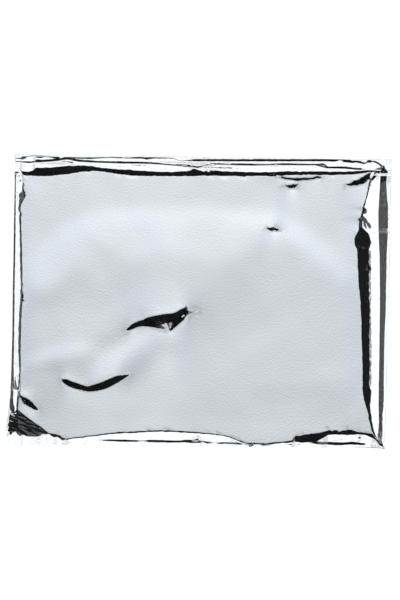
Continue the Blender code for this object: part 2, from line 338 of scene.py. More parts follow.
SOFT_LEANS = (
    # Arch
    lean(degrees=2.3, blur=1.6, digits=1, pixels=(
        (26, 285), (31, 262), (45, 241), (65, 224), (85, 214), (110, 209), (200, 206), (240, 208),
        (270, 212), (300, 221), (325, 240), (341, 258), (347, 278), (338, 282), (325, 266), (308, 252),
        (290, 240), (270, 230), (240, 227), (200, 224), (150, 226), (110, 226), (85, 231), (62, 247),
        (46, 268), (38, 290),
    )),
    # Arch shoulder
    lean(degrees=1, blur=1.2, digits=1, pixels=(
        (225, 214), (265, 216), (300, 226), (325, 246), (338, 268), (322, 262), (300, 244), (275, 234),
        (235, 226),
    )),
    # Under arch
    lean(degrees=1.3, blur=1.2, digits=1, pixels=(
        (40, 288), (62, 250), (88, 230), (190, 224), (240, 228), (265, 236), (240, 252), (215, 264),
        (200, 262), (185, 250), (162, 247), (148, 257), (128, 262), (108, 246), (95, 236), (82, 240),
        (70, 262), (56, 284),
    )),
    # Lobe hollow
    lean(degrees=-1.5, blur=2, digits=1, pixels=(
        (34, 296), (56, 290), (72, 268), (86, 272), (92, 288), (82, 302), (58, 310), (36, 308),
    )),
    # Valley
    lean(degrees=-0.6, blur=2, digits=1, pixels=(
        (98, 300), (120, 288), (140, 266), (158, 264), (150, 280), (125, 296), (105, 305),
    )),
    # Behind slit
    lean(degrees=0.5, blur=2, digits=1, pixels=(
        (92, 312), (120, 300), (160, 284), (205, 266), (200, 285), (165, 302), (130, 314), (100, 322),
    )),
    # Below shoulder
    lean(degrees=-0.8, blur=2, digits=1, pixels=(
        (270, 237), (290, 250), (318, 270), (338, 292), (300, 320), (240, 330), (200, 350), (196, 310),
        (212, 280), (240, 256),
    )),
    # Left ridge
    lean(degrees=2, blur=0.9, digits=1, pixels=(
        (22, 359), (40, 352), (62, 345), (84, 341), (98, 345), (84, 352), (60, 356), (38, 362), (22, 366),
    )),
    # Left ridge front
    lean(degrees=-1.8, blur=1.2, digits=1, pixels=(
        (22, 366), (60, 359), (84, 355), (94, 354), (88, 380), (70, 374), (46, 372), (24, 374),
    )),
    # Middle ridge
    lean(degrees=2.4, blur=0.9, digits=1, pixels=(
        (86, 383), (94, 366), (108, 350), (124, 341), (140, 332), (150, 334), (142, 346), (122, 362),
        (102, 378),
    )),
    # Middle ridge front
    lean(degrees=-1.4, blur=1.4, digits=1, pixels=(
        (108, 384), (124, 368), (146, 350), (162, 338), (170, 344), (154, 364), (134, 384),
    )),
    # Ridges meet
    lean(degrees=-1.3, blur=1, digits=1, pixels=(
        (86, 340), (102, 334), (124, 331), (120, 342), (106, 350), (94, 348),
    )),
    # Below smile
    lean(degrees=0.6, blur=1.5, digits=1, pixels=(
        (60, 395), (120, 394), (160, 400), (140, 408), (80, 406),
    )),
    # Front trough
    lean(degrees=-0.5, blur=1.5, digits=1, pixels=(
        (250, 388), (300, 384), (345, 384), (345, 396), (290, 404), (250, 400),
    )),
    # Right swell
    lean(degrees=0.5, blur=1.5, digits=1, pixels=(
        (270, 378), (310, 366), (352, 360), (352, 374), (310, 380),
    )),
    # Front swell
    lean(degrees=0.6, blur=1.2, digits=1, pixels=(
        (80, 424), (150, 418), (220, 420), (270, 424), (340, 420), (352, 428), (240, 436), (80, 434),
    )),
    # Above wing
    lean(degrees=-2.1, blur=2, digits=1, pixels=(
        (158, 266), (182, 258), (190, 280), (184, 306), (170, 310), (158, 300),
    )),
    # Below wing
    lean(degrees=-1.7, blur=1.5, digits=1, pixels=(
        (158, 334), (168, 333), (178, 336), (184, 346), (176, 360), (164, 352), (154, 342),
    )),
    # Front left hollow
    lean(degrees=-0.7, blur=1.5, digits=1, pixels=(
        (20, 376), (34, 372), (56, 386), (72, 396), (64, 412), (46, 420), (30, 412), (20, 400),
    )),
    # Left limb
    lean(degrees=0.6, blur=1.5, digits=1, pixels=(
        (28, 288), (30, 262), (40, 244), (56, 232), (70, 232), (58, 246), (50, 262), (46, 288),
    )),
    # Left shoulder
    lean(degrees=-2, blur=0.8, sideways=True, digits=1, pixels=(
        (22.5, 186), (31, 186), (32, 300), (31, 388), (19.5, 388), (20, 330), (22.5, 290), (21.5, 230),
    )),
    # Right shoulder
    lean(degrees=1.4, blur=1, sideways=True, digits=1, pixels=(
        (352, 186), (364, 186), (358, 225), (353, 240), (357, 262), (361, 320), (363, 400), (348, 400),
        (346, 300), (345, 230),
    )),
)

# Sharp tucks, in which the film turns down so far that it mirrors the dark beside the overhead light.
TUCKS = (
    # Smile tuck
    lean(degrees=-12.5, blur=0.08, pixels=(
        (61.8, 381.2), (62, 379.4), (63.6, 378.5), (66, 378.6), (71, 380.6), (76, 382.4), (82, 384.6),
        (86, 385.9), (88, 386.2), (91, 385.3), (96, 383.7), (101, 382.1), (106, 379.9), (111, 377.9),
        (116, 375.8), (119, 375.2), (124, 375), (129.8, 374.3), (127, 376.8), (122, 380.3), (118, 382.8),
        (113, 385.5), (108, 388.1), (103, 390), (98, 391.1), (93, 391.7), (88, 391.8), (83, 391),
        (78, 389.8), (73, 388.5), (70, 387.3), (66.5, 385.6), (63.6, 383.6),
    )),
    # Slit tuck
    lean(degrees=-12.8, blur=0.08, pixels=(
        (125.6, 329.8), (127.6, 327.5), (131, 324.3), (135, 322), (140, 320.2), (145, 319.2), (150, 319),
        (155, 319.2), (160, 320), (163, 321.5), (165, 323), (164, 324.4), (163, 326.2), (165, 327.4),
        (164.2, 329.4), (160, 329), (155, 328.1), (150, 327.2), (146, 326.6), (142, 326.4), (138, 327.2),
        (134, 328.8), (130, 330.4), (126.8, 331.4),
    )),
    # Slit wing
    lean(degrees=-15.5, blur=0.08, pixels=(
        (143, 318.9), (148, 317.1), (153, 315.8), (160, 314.6), (166, 313.6), (172, 313.1), (176, 312),
        (179, 309.9), (181, 308.4), (183.5, 307.2), (185.4, 307.2), (186.6, 309.5), (187.2, 312.5),
        (186.4, 316.8), (184.3, 319.7), (180.3, 323.4), (176.3, 327), (173, 330), (170.5, 332.4),
        (169.2, 331), (168.1, 328.5), (167.3, 325.5), (166.4, 322.8), (165, 322.2), (163, 321.5),
        (160, 320), (155, 319.2), (150, 319), (145, 319.2),
    )),
    # Slit glint
    lean(degrees=11.5, blur=0.06, pixels=(
        (170, 320.8), (171, 322), (171.3, 325.5), (170.9, 328.8), (170.2, 328), (169.8, 324.4),
    )),
    # Slit speck
    lean(degrees=14.5, blur=0.08, pixels=(
        (182, 314.2), (183.6, 314.6), (183.9, 316.8), (182.7, 318), (181.6, 317),
    )),
    # Slit lip
    lean(degrees=-3.5, blur=0.2, digits=1, pixels=(
        (148, 327.2), (153, 328.3), (158, 329.3), (163, 329.2), (166, 325), (167, 331), (163, 333),
        (158, 331.8), (153, 329.5),
    )),
    # Slit tail
    lean(degrees=-8.6, blur=0.4, digits=1, pixels=(
        (188, 310.4), (192, 309.4), (199, 309), (200, 311.5), (195, 313), (190, 315.6), (188, 315.6),
    )),
    # Nick tuck
    lean(degrees=-17, blur=0.08, pixels=(
        (266.4, 226.8), (268.5, 227.2), (270.5, 227.6), (272.5, 226.4), (274, 226.2), (275.5, 227.4),
        (277.5, 228.3), (280, 229.4), (282, 230.6), (278, 231.5), (274, 231.6), (271, 231.4),
        (268.5, 230.2), (266.6, 228.9),
    )),
    # Sliver tuck
    lean(degrees=-14.5, blur=0.08, pixels=(
        (276, 175.2), (282, 176), (285, 177), (290, 177.4), (297, 177.7), (304, 177.6), (310, 177.6),
        (313, 177.2), (315, 176.2), (318, 175.6), (322, 176.8), (320.5, 178.7), (316.5, 178.3),
        (314, 179.7), (308, 180.1), (303, 180.4), (299, 180.8), (296.5, 181.5), (294, 180.6), (289, 180),
        (284.5, 179.4), (281, 178), (276, 176.8),
    )),
    # Scuff tuck
    lean(degrees=-15, blur=0.1, pixels=(
        (284.6, 184), (287, 185.2), (289, 184), (291, 184.6), (293, 183.6), (298, 184), (296.8, 188),
        (294, 189.2), (291, 189.2), (288, 188.8), (285.4, 187.2),
    )),
    # Scuff dot
    lean(degrees=-11.5, blur=0.12, pixels=(
        (280.3, 186.2), (282, 185.2), (283.2, 186.2), (281.8, 187.2),
    )),
    # Back corner tuck
    lean(degrees=-14.5, blur=0.08, pixels=(
        (343.5, 184.4), (348, 183.6), (351, 182.8), (352, 180.9), (355, 180), (358.5, 179.4),
        (360.5, 177.3), (363, 176.7), (365.5, 174.7), (368.5, 173.6), (372, 172.8), (374, 174.5),
        (371, 178), (368, 181), (365, 183.4), (361, 185), (357, 185.8), (352, 186.3), (348, 186),
    )),
    # Front corner tuck
    lean(degrees=-11.5, blur=0.12, pixels=(
        (19.3, 394.5), (23, 396.1), (27, 397.8), (31, 400.2), (33.5, 402.7), (35, 405.4), (38.6, 408.3),
        (37.8, 410.6), (34, 409.8), (30.5, 407.9), (27, 406), (23.4, 404.2), (21.3, 401.8), (20.4, 398.5),
    )),
)

# Tucks and crumples in the packet's pressed sides, which every ply follows. The sides already slope
# outwards, so a lean back towards the level makes a dark line.
SIDE_TUCKS = (
    # Back faint line
    lean(degrees=-15, blur=0.1, pixels=(
        (70, 162.2), (80, 163), (100, 163.6), (128, 164.6), (146, 165), (146, 165.8), (128, 165.5),
        (100, 164.5), (80, 163.9), (70, 162.9),
    )),
    # Back smear
    lean(degrees=-15, blur=0.2, pixels=(
        (158, 162.8), (168, 163.3), (180, 163.6), (192, 163.8), (192, 166), (180, 166.2), (170, 165.6),
        (160, 164.6),
    )),
    # Back dash
    lean(degrees=-18, blur=0.1, pixels=(
        (203, 166.8), (217, 166.9), (232, 167.4), (239, 167.8), (239, 168.6), (226, 168.5), (212, 168),
        (203, 167.9),
    )),
    # Back under line
    lean(degrees=-20, blur=0.1, pixels=(
        (60, 160.9), (64, 160.5), (70, 161.2), (74, 162), (74, 163), (69, 162.9), (64, 162.4), (60, 162),
    )),
    # Back blob
    lean(degrees=-13, blur=0.15, pixels=(
        (64, 165), (66.5, 164), (69.5, 164.8), (70, 166), (66.5, 166.6), (64, 166.2),
    )),
    # Back grey left
    lean(degrees=10, blur=0.3, pixels=(
        (36, 162), (60, 161.5), (72, 163.5), (84, 162.8), (130, 163.8), (130, 165.6), (100, 165.2),
        (80, 164.6), (60, 163.8), (36, 163.8),
    )),
    # Back grey middle
    lean(degrees=10, blur=0.3, pixels=(
        (158, 161), (192, 161.2), (232, 161.2), (232, 163), (200, 166), (170, 164.5), (158, 163.6),
    )),
    # Back grey right
    lean(degrees=10, blur=0.3, pixels=(
        (252, 161.2), (322, 161.2), (322, 163), (300, 163.3), (285, 163), (275, 166.8), (262, 166.2),
        (252, 165.2),
    )),
    # Corner dark top
    lean(degrees=-22, blur=0.1, sideways=True, pixels=(
        (374.5, 173), (379, 172.6), (379, 174.6), (376, 177), (372.6, 180.4), (371, 179.2), (373, 176),
    )),
    # Corner dark side
    lean(degrees=-11, blur=0.1, sideways=True, pixels=(
        (381.6, 170.2), (387.6, 170.2), (388, 176), (387.4, 181.5), (380.6, 181.5), (381.4, 178.5),
        (382, 174.5),
    )),
    # Corner dark gap
    lean(degrees=16, blur=0.1, pixels=(
        (381.4, 172.4), (388.4, 172.4), (388.4, 177), (381.4, 177),
    )),
    # Right fishtail
    lean(degrees=-18, blur=0.06, sideways=True, pixels=(
        (363, 216.6), (364.6, 217.2), (366.8, 219.3), (369.6, 222.9), (371.8, 226.4), (371.1, 228.2),
        (368.4, 228.4), (366, 226.8), (363.4, 225.4),
    )),
    # Right bump
    lean(degrees=-17, blur=0.06, sideways=True, pixels=(
        (363.6, 207.6), (366.2, 208.6), (367.6, 211), (366.2, 213.6), (363.4, 214),
    )),
    # Right spot
    lean(degrees=-16, blur=0.12, sideways=True, pixels=(
        (368.6, 265.8), (370.6, 266.6), (371.4, 269.3), (370, 270.6), (368.6, 269.6),
    )),
    # Right grey strip
    lean(degrees=-7.4, blur=0.08, sideways=True, pixels=(
        (368.9, 249.5), (371.4, 249.5), (371.3, 262), (371.4, 290), (371.6, 320), (371.9, 350),
        (371.8, 385), (370, 388), (369.2, 384), (369.3, 350), (369.4, 320), (369.2, 290), (368.9, 262),
    )),
    # Front spot
    lean(degrees=21, blur=0.1, pixels=(
        (358, 437.5), (359.5, 436.4), (361.3, 437), (360.5, 439), (358.8, 439.6),
    )),
    # Front blob
    lean(degrees=21, blur=0.1, pixels=(
        (191.5, 440), (194.5, 439.8), (196, 438), (198.5, 438.4), (199, 440.2), (201.5, 441), (200, 442),
        (193, 441.8),
    )),
    # Left spot
    lean(degrees=22, blur=0.1, sideways=True, pixels=(
        (18.2, 175), (19.9, 175), (19.8, 177.2), (18.3, 177),
    )),
    # Left spot below
    lean(degrees=22, blur=0.1, sideways=True, pixels=(
        (19, 179.4), (21.2, 179.6), (21, 181.6), (19.2, 181.4),
    )),
    # Left smudge
    lean(degrees=19, blur=0.12, sideways=True, pixels=(
        (14.3, 374), (15.5, 376), (16, 380), (16.6, 384), (17.8, 387), (18.4, 389.3), (16, 390.6),
        (13.5, 390.4), (13.7, 388), (14.1, 384), (14.1, 380),
    )),
)

RELIEF_GRID = 0.1  # spacing of the grid on which the leans are turned into heights
RELIEF_HALF = (70.0, 55.0)  # half the size of that grid
GRID_END = 1.001  # how many steps before its size the grid is read at most, just inside its last point
# How far off a crease still lifts the film, and how much the film minds being tilted sideways for a
# lean's sake: on the face and on the pressed sides.
FACE_REACH, FACE_CROSSWISE = 30.0, 0.2
SIDE_REACH, SIDE_CROSSWISE = 2.0, 0.03

# The corner at the front left is crushed. It falls away past one line, in fine ridges, and turns down past
# two others: one at the front, and one at the side. Each point gives a column, the first line's row there
# and the front line's row.
CRUSHED = (
    (6, 409.2, 434), (8, 409, 434), (10.5, 409.2, 435.5), (13, 409.8, 432.5), (15, 410, 431.8),
    (17, 409.3, 434.5), (20, 411.5, 436.3), (23, 413.7, 435.5), (26, 416, 436.3), (31, 419.8, 436.8),
    (36, 423.5, 436.8), (40, 426.3, 436), (43, 428.5, 434.5), (46, 431, 434.8), (48.5, 432.6, 434),
    (51, 433.2, 436), (54, 433.7, 437.3), (57, 434.3, 437), (60, 435.5, 439), (62, 437, 440.3),
    (64.5, 438.3, 440), (66.5, 439.5, 439.7), (70, 446, 440),
)
CRUSH_DIGITS = (1, 1)
CRUSH_LINE = [seen_at(column, row, *CRUSH_DIGITS) for column, row, _ in CRUSHED]
CRUSH_FRONT = [seen_at(column, row, *CRUSH_DIGITS) for column, _, row in CRUSHED]
# The side line's row and column at each point, turned into how far along Y it lies, then how far out.
CRUSHED_SIDE = (
    (445, 9), (436, 9.2), (433, 9), (431, 7.7), (428, 8.2), (425, 7.7), (422, 8.6), (419, 8.8),
    (415.5, 9.6), (413, 10.4), (411.5, 11.2), (409.5, 10.6), (407, 9.6), (404, 9), (360, 8.8),
)
CRUSH_SIDE = [seen_at(column, row, *CRUSH_DIGITS)[::-1] for row, column in CRUSHED_SIDE]
CRUSH_LINE_COSINE = 0.8  # turns a distance along Y into one straight across the first line, about
CRUSH_FALL = math.radians(16.5)  # how steeply the corner falls past the first line
CRUSH_DROP = math.radians(36)  # how steeply it turns down past the other two
CRUSH_EDGE = 1.2  # the width over which the crushing sets in past the first line
CRUSH_RUN = (0.94, -0.34)  # which way the ridges run, along X and Y
# The film at the corner is also pressed out past the left edge, by an amount that grows from one place
# along Y to another.
CRUSH_OUT = 0.5
CRUSH_OUT_FROM, CRUSH_OUT_TO = -28.3, -31.9

# Small ridges: their height, and how long and how wide they are.
Ridges = namedtuple("Ridges", "height length width")
SIDE_RIDGES = Ridges(height=0.012, length=0.9, width=0.7)
SIDE_RIDGES_FROM = 0.05  # how far a side has dropped where its ridges are fully there
CRUSH_RIDGES = Ridges(height=0.03, length=2.4, width=0.6)
NOISE_LEVEL = 3.7  # the height at which the ridges are cut out of a solid noise

# How the ends and the long edges of the panels wander: each wave's height, its length, and the step in its
# phase from one end or panel to the next.
END_WANDER = ((0.14, 38.0, 1.7), (0.07, 17.0, 2.9))
FRONT_WANDER = ((0.18, 47.0, 1.9), (0.08, 19.0, 4.3))
BACK_WANDER = ((0.18, 41.0, 0.7), (0.08, 21.0, 3.1))

# Sums of waves: the height, length and phase of each.
SHIVER = ((0.03, 3.1, 0.4), (0.03, 4.7, 2.0), (0.03, 1.9, 1.1))  # of the rims' lines, along them
SHIVER_OUT = ((0.03, 3.7, 1.9), (0.04, 2.3, 0.2), (0.03, 5.3, 3.1))
WAVY_ALONG = ((0.004, 13.0, 0.3), (0.002, 7.9, 1.2), (0.012, 31.0, 4.0))  # of the top ply
WAVY_ACROSS = ((0.003, 11.0, 2.2), (0.002, 8.7, 5.1), (0.012, 27.0, 0.9))
WAVY_RUN = (0.8, 0.6)  # which way the first of these two runs, along X and Y
SWAY_ALONG = ((0.25, 46.0, 0.5), (0.12, 23.0, 2.0))  # of the middle of the stack
SWAY_ACROSS = ((0.2, 39.0, 1.1),)
SWAY_SKEW = (0.4, -0.3)  # how much of the other direction goes into each of these two

# ---------------------------------------------------------------- how finely the sheet is divided

FACE_CUTS = (28, 24)  # along and across the face, in the panels and plies that show
HIDDEN_CUTS = (12, 12)  # and in the others
FOLD_CUTS = 4
TURN_CUTS = 3
LINE_SOFTNESS = 0.10  # half the width over which a roll starts or ends
FACE_MARGIN = 0.06  # how much further inside the face the innermost of a rim's lines lies
SETTLING_ROUNDS = 4  # columns and rows are placed by turns, since each depends on where the others lie
CLOSEST = 0.02  # least distance between two rows
CROWDING = 0.09  # how much closer together the rows lie towards the sides
TUCK_MARGIN = 0.5  # how far round a tuck the sheet is divided finely
LEAST_FALL = 0.04  # how far an edge drops that counts as running down a side
LEAST_BEND = 0.008  # how far a side bends along an edge that has to be divided for it

# ---------------------------------------------------------------- worked out from the above

TOP = len(PANELS)  # the top panel's number
SHOWN_PANELS = (TOP - 1, TOP)
SHOWN_PLIES = (0, PLIES - 1)
BUNDLE = PLY_PITCH * (PLIES - 1)  # height of one panel's plies
STACK = PANEL_PITCH * TOP + BUNDLE  # height of the packet before it is pressed
TURN_RADIUS = PLY_PITCH / 2
HALF_LENGTH, HALF_WIDTH = CAD_HIGH.x / MM, CAD_HIGH.y / MM


# ================================================================ settings


class FoilSheetSettings(bpy.types.PropertyGroup):
    film_colour: bpy.props.FloatVectorProperty(
        name="Film colour",
        description="Tint of the mirror coat",
        default=(0.87, 0.915, 0.95),
        subtype="COLOR",
        min=0,
        max=1,
    )
    film_roughness: bpy.props.FloatProperty(
        name="Film roughness",
        description="How blurred the film's reflections are",
        default=0.09,
        min=0,
        max=1,
    )


class FoilStageSettings(bpy.types.PropertyGroup):
    lens: bpy.props.FloatProperty(
        name="Lens", description="Focal length", default=250.0, unit="CAMERA"
    )
    view_height: bpy.props.FloatProperty(
        name="View height",
        description="How much of the stage the picture shows from front to back",
        default=0.18293,
        unit="LENGTH",
    )


# ================================================================ shapes


def smooth_line(line, at):
    """A smooth curve through a line's points, read at these places. It never overshoots a point."""
    places, values = np.array(line, float).T
    at = np.clip(at, places[0], places[-1])
    row = np.clip(np.searchsorted(places, at) - 1, 0, len(places) - 2)
    rises = np.diff(values) / np.diff(places)
    product = rises[1:] * rises[:-1]
    slopes = np.zeros(len(values))
    slopes[1:-1] = np.where(product > 0, 2 * product / np.where(product > 0, rises[1:] + rises[:-1], 1), 0)
    gap = places[row + 1] - places[row]
    share = (at - places[row]) / gap
    rest = 1 - share
    return (
        values[row] * rest**2 * (1 + 2 * share)
        + values[row + 1] * share**2 * (1 + 2 * rest)
        + gap * share * rest * (slopes[row] * rest - slopes[row + 1] * share)
    )


def rim_line(rim, name, at):
    return smooth_line(getattr(rim, name), at)


def smooth_step(share):
    share = np.clip(share, 0, 1)
    return share * share * (3 - 2 * share)


def waves(at, *rows):
    """A sum of sines. Each row gives an amplitude, a wavelength and a phase."""
    return sum(size * np.sin(2 * np.pi * at / length + phase) for size, length, phase in rows)


def wander(at, number, rows):
    """The same sum of sines in another phase for each number. Each row ends in the phase's step."""
    return waves(at, *((size, length, step * number) for size, length, step in rows))


def rim_lines(rim, at):
    """The lines of a rim from the face outwards, with the small unevenness of hand-pressed creases."""
    shiver, shiver_out = waves(at, *SHIVER), waves(at, *SHIVER_OUT)
    shifts = {
        "face": shiver,
        "steep": shiver_out,
        "edge": shiver_out / 2,
        "under": -shiver / 2,
        "line": shiver / 2,
        "outer": -shiver_out / 2,
    }
    drawn = [name for name in shifts if getattr(rim, name) is not None]
    return [rim_line(rim, name, at) + shifts[name] for name in drawn]


# ================================================================ the sheet, folded flat


def keep_apart(places, low, high):
    """Keeps these lines in order, inside the two ends and a little apart."""
    places[0] = low
    for line in range(1, len(places)):
        places[line] = np.maximum(places[line], places[line - 1] + CLOSEST)
    places[-1] = high
    for line in range(len(places) - 1, 0, -1):
        places[line - 1] = np.minimum(places[line - 1], places[line] - CLOSEST)
    return np.array(places)


def beside(line, fine):
    """The lines drawn for a rim line: one on each side of it, or only one."""
    return [line - LINE_SOFTNESS, line + LINE_SOFTNESS] if fine else [line]


def lines_across(low, high, rim_low, rim_high, cuts, fine):
    """The lines that a panel or a ply is divided along: beside each rim line, and over the face."""
    places = [low]
    for line in reversed(rim_low):
        places += beside(line, fine)
    after = [place for line in rim_high for place in beside(line, fine)]
    if fine:
        places[-1] = places[-1] + FACE_MARGIN
        after[0] = after[0] - FACE_MARGIN
    face_low, face_high = places[-1], after[0]
    shares = [cut / cuts - CROWDING * math.sin(2 * math.pi * cut / cuts) for cut in range(1, cuts)]
    places += [face_low + (face_high - face_low) * share for share in shares]
    return keep_apart(places + after + [high], low, high)


def side_of(end):
    """-1 for a panel's end on the left, 1 for one on the right."""
    return 1 if end % 2 else -1


def end_line(end, y):
    """How far an end of a panel reaches along X, at these places along Y."""
    if end == TOP:
        crushed = smooth_step((CRUSH_OUT_FROM - y) / (CRUSH_OUT_FROM - CRUSH_OUT_TO))
        return rim_line(LEFT_RIM, "under", y) - TOP_END_OUT - CRUSH_OUT * crushed
    if end == TOP + 1:
        return rim_line(RIGHT_RIM, "edge", y)
    return ENDS[end].reach + ENDS[end].slant * y / HALF_WIDTH + wander(y, end, END_WANDER)


def turn_line(end, y):
    """Where the flat part of a panel ends along X: where its fold begins, or at its free end."""
    bulge = 0 if end in (0, TOP + 1) else FOLD_BULGE * (PANEL_PITCH + BUNDLE) / 2
    return end_line(end, y) - side_of(end) * bulge


def long_edges(panel, ply, x):
    """The front and back ends of the flat part of one ply of a panel, at these places along X."""
    if panel == TOP:
        front, back = rim_line(FRONT_RIM, "edge", x), rim_line(BACK_RIM, "edge", x)
    else:
        climb = PANELS[panel].climb * x / HALF_LENGTH
        front = PANELS[panel].front + climb + wander(x, panel, FRONT_WANDER)
        back = PANELS[panel].back + climb + wander(x, panel, BACK_WANDER)
    # Plies 0 and 3 end in a cut edge at the front, and every other end turns into the next ply.
    front = front + (0 if ply in (0, PLIES - 1) else TURN_RADIUS + TURN_STAGGER)
    back = back - TURN_RADIUS - TURN_STAGGER * (ply // 2)
    return front, back


# A column is one line across the strip, and a row one line along it. A fold's columns and a turn's rows
# lie at an angle round it, from -90 degrees to 90.
Course = namedtuple("Course", "number angle")


def courses(count, fold_cuts, rims, axis, shown):
    """For each panel or ply, then the fold or turn after it, its courses in order along the sheet."""
    rim_count = sum(len(rim_lines(rim, np.zeros(1))) for rim in rims)
    made = []
    for number in range(count - 1):
        cuts = (FACE_CUTS if number in shown else HIDDEN_CUTS)[axis]
        made += [Course(number, None)] * (cuts + rim_count + 1)
        made += [Course(number, math.pi * (cut / fold_cuts - 0.5)) for cut in range(1, fold_cuts)]
    return made + [Course(count - 1, None)] * (FACE_CUTS[axis] + 2 * rim_count + 1)


def courses_of(kind, number):
    """Where the courses of one panel or ply stand in the list, as a slice from its low end upwards."""
    at = [place for place, course in enumerate(kind) if course == Course(number, None)]
    if number % 2:
        return slice(at[-1], at[0] - 1 if at[0] else None, -1)
    return slice(at[0], at[-1] + 1)


def fold_flat():
    """The points of the sheet, folded flat: an array of columns, rows and the three axes."""
    columns = courses(TOP + 1, FOLD_CUTS, (LEFT_RIM, RIGHT_RIM), 0, SHOWN_PANELS)
    rows = courses(PLIES, TURN_CUTS, (FRONT_RIM, BACK_RIM), 1, SHOWN_PLIES)
    x = np.zeros((len(columns), len(rows)))
    y = np.zeros_like(x)
    off = np.array([ply_offset(row) for row in rows])
    for _ in range(SETTLING_ROUNDS):
        place_rows(y, x, columns, rows)
        place_columns(x, y, columns, off)
    z = np.array([column_height(column, off) for column in columns])
    return np.stack([x, y, z], axis=-1)


def ply_offset(row):
    """How far a row lies above the middle of its panel, where the panel isn't upside down."""
    off = (row.number - (PLIES - 1) / 2) * PLY_PITCH
    return off if row.angle is None else off + TURN_RADIUS * (1 + math.sin(row.angle))


def column_height(column, off):
    """The heights of one column's points."""
    if column.angle is None:
        upright = -1 if column.number % 2 else 1
        return BUNDLE / 2 + column.number * PANEL_PITCH + upright * off
    radius = PANEL_PITCH / 2 - side_of(column.number + 1) * off
    return BUNDLE / 2 + (column.number + 0.5) * PANEL_PITCH + radius * math.sin(column.angle)


def place_columns(x, y, columns, off):
    """Sets how far each column reaches along X, given where the rows lie along Y."""
    for panel in range(TOP + 1):
        block = courses_of(columns, panel)
        at_low, at_high = y[block][0], y[block][-1]
        ends = (panel, panel + 1) if panel % 2 == 0 else (panel + 1, panel)
        x[block] = lines_across(
            turn_line(ends[0], at_low),
            turn_line(ends[1], at_high),
            rim_lines(LEFT_RIM, at_low),
            rim_lines(RIGHT_RIM, at_high),
            (FACE_CUTS if panel in SHOWN_PANELS else HIDDEN_CUTS)[0],
            panel == TOP,
        )
    for number, column in enumerate(columns):
        if column.angle is not None:
            end = column.number + 1
            bulge = FOLD_BULGE * (PANEL_PITCH / 2 - side_of(end) * off) * math.cos(column.angle)
            x[number] = turn_line(end, y[number]) + side_of(end) * bulge


def place_rows(y, x, columns, rows):
    """Sets how far each row reaches along Y, given where the columns lie along X."""
    for panel in range(TOP + 1):
        at_panel = [column.number == panel for column in columns]
        for ply in range(PLIES):
            place_ply(y, x, panel, ply, at_panel, rows)
        for number, row in enumerate(rows):
            if row.angle is not None:
                at = x[at_panel, number]
                edges = [long_edges(panel, row.number + step, at)[(row.number + 1) % 2] for step in (0, 1)]
                share = (math.sin(row.angle) + 1) / 2
                out = TURN_RADIUS * math.cos(row.angle) * (1 if row.number % 2 == 0 else -1)
                y[at_panel, number] = edges[0] + (edges[1] - edges[0]) * share + out


def place_ply(y, x, panel, ply, at_panel, rows):
    block = courses_of(rows, ply)
    reach = x[at_panel][:, block]
    at_low, at_high = reach[:, 0], reach[:, -1]
    low, high = long_edges(panel, ply, at_low)[0], long_edges(panel, ply, at_high)[1]
    rims = rim_lines(FRONT_RIM, at_low), rim_lines(BACK_RIM, at_high)
    held = y[at_panel]
    cuts = (FACE_CUTS if ply in SHOWN_PLIES else HIDDEN_CUTS)[1]
    held[:, block] = lines_across(low, high, *rims, cuts, ply == PLIES - 1).T
    y[at_panel] = held


# ================================================================ pressing and creasing


def fall_past(lines, out, falls):
    """How far a side has dropped at these places, which are measured outwards."""
    lines = np.maximum.accumulate([*lines, np.full_like(out, np.inf)])
    return sum(
        math.tan(math.radians(angle)) * np.clip(out - start, 0, end - start)
        for start, end, angle in zip(lines, lines[1:], falls)
    )


def flipped(lines):
    return [-line for line in lines]


def crush_distance(x, y):
    """About how far these places lie past the line along which the front left corner is crushed."""
    return (smooth_line(CRUSH_LINE, x) - y) * CRUSH_LINE_COSINE


def crumple(x, y, ridges, run=(1, 0)):
    """The heights of small ridges that run this way, along X and Y."""
    along, across = x * run[0] + y * run[1], y * run[0] - x * run[1]
    places = [(u / ridges.length, v / ridges.width, NOISE_LEVEL) for u, v in zip(along, across)]
    return ridges.height * np.array([noise.noise(place) * 2 for place in places])


def sides_fall(x, y):
    """How far the whole packet's top has dropped at these places."""
    left = fall_past(flipped(rim_lines(LEFT_RIM, y)), -x, LEFT_FALL)
    right = fall_past(rim_lines(RIGHT_RIM, y), x, RIGHT_FALL)
    front = fall_past(flipped(rim_lines(FRONT_RIM, x)), -y, FRONT_FALL)
    back = fall_past(rim_lines(BACK_RIM, x), y, BACK_FALL)
    fall = (left**BLEND + right**BLEND + front**BLEND + back**BLEND) ** (1 / BLEND)
    fallen = fall > 0
    set_in = smooth_step(fall[fallen] / SIDE_RIDGES_FROM)
    fall[fallen] += crumple(x[fallen], y[fallen], SIDE_RIDGES) * set_in
    past = crush_distance(x, y)
    crushed = past > 0
    share = smooth_step(past[crushed] / CRUSH_EDGE)
    past_front = smooth_line(CRUSH_FRONT, x[crushed]) - y[crushed]
    past_side = smooth_line(CRUSH_SIDE, y[crushed]) - x[crushed]
    beyond = np.maximum.reduce([past_front, past_side, np.zeros(len(past_side))])
    ridges = crumple(x[crushed], y[crushed], CRUSH_RIDGES, CRUSH_RUN) * share * (beyond == 0)
    fall[crushed] += (beyond * math.tan(CRUSH_DROP) - fall[crushed]) * share + ridges
    return np.maximum(fall + math.tan(CRUSH_FALL) * np.maximum(past, 0), 0)


def inside_face(x, y):
    """0 at the border of the face, and 1 a border's width inside it."""
    left = x - rim_line(LEFT_RIM, "face", y)
    right = rim_line(RIGHT_RIM, "face", y) - x
    front = y - rim_line(FRONT_RIM, "face", x)
    back = rim_line(BACK_RIM, "face", x) - y
    nearest = np.minimum.reduce([left, right, front, back, -crush_distance(x, y)])
    return smooth_step(nearest / BORDER_BAND)


